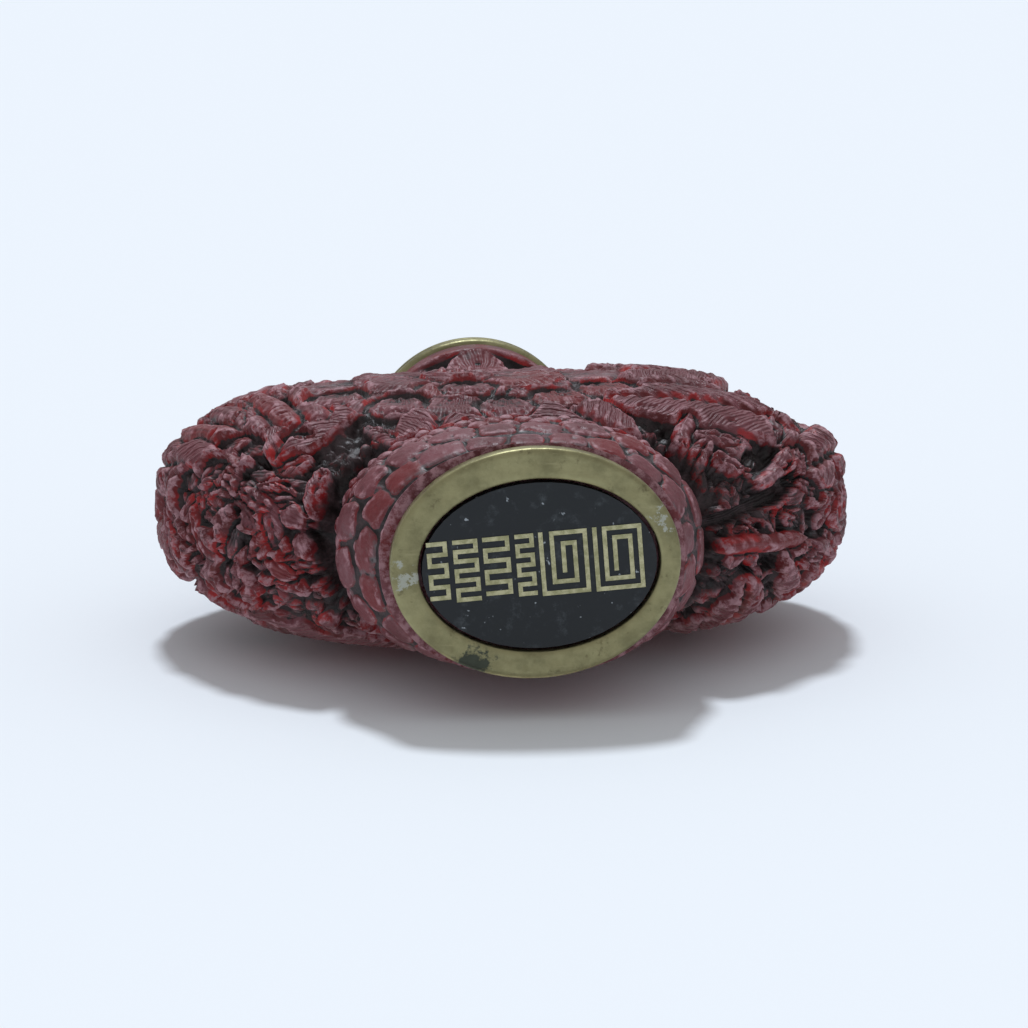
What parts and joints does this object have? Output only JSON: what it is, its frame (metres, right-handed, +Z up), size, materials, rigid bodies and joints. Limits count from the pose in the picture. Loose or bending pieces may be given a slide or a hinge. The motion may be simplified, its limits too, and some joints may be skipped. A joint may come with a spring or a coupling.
{
  "type": "snuff bottle",
  "caption": "Flattened round bottle of carved red lacquer on a flared oval foot with a metal foot ring, a short neck and a domed stopper.",
  "frame": {"origin": "centre of the foot ring's underside, on the surface the bottle stands on", "axes": "+Z up along the bottle from the foot to the stopper; -Y out of the front broad face; +X to the right as seen from the front"},
  "size_m": [0.0628, 0.024, 0.0766],
  "materials": {
    "carved_lacquer": "carved red lacquer, worn, satin, with black dirt in the recesses",
    "foot_brass": "dull, scratched, with pale corrosion spots",
    "black_plate": "smooth black plate with worn gold fret strokes",
    "mouth_brass": "dull, worn",
    "stopper_lacquer": "carved red lacquer, worn, satin",
    "cork": "plain cork"
  },
  "bodies": {
    "root": {"flask_body": "carved_lacquer", "foot_rim": "foot_brass", "base_plate": "black_plate", "mouth_collar": "mouth_brass", "stopper_cap": "stopper_lacquer", "stopper_plug": "cork"}
  },
  "joints": []
}
